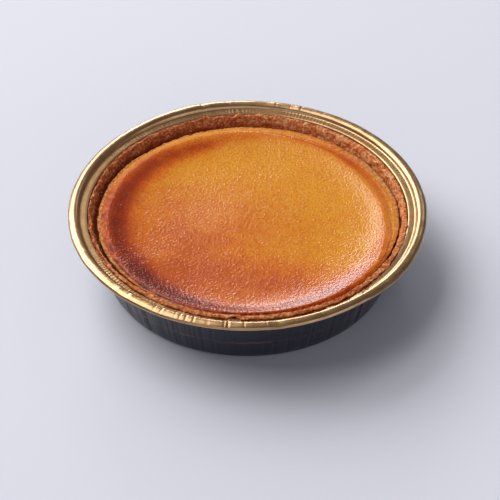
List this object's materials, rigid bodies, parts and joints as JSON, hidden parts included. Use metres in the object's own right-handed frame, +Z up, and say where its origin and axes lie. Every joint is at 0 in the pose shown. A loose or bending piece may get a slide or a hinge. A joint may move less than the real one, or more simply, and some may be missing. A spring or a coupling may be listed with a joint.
{
  "type": "cheesecake",
  "caption": "Round baked cheesecake with a sunken top and a crumbly biscuit crust, in its own shallow foil tin.",
  "frame": {"origin": "centre of the tin's flat base, on the surface it stands on", "axes": "+Z up out of the cake, -Y towards the side that the picture is taken from, +X to that view's right"},
  "size_m": [0.16, 0.16, 0.0332],
  "materials": {
    "foil": "gold lacquer inside and on the rim, dark glossy lacquer outside",
    "biscuit_crust": "dry crumbly baked biscuit",
    "cheese_filling": "baked cheese filling with a moist, slightly glossy browned skin"
  },
  "bodies": {
    "root": {"tin": "foil", "crust": "biscuit_crust", "filling": "cheese_filling"}
  },
  "joints": []
}
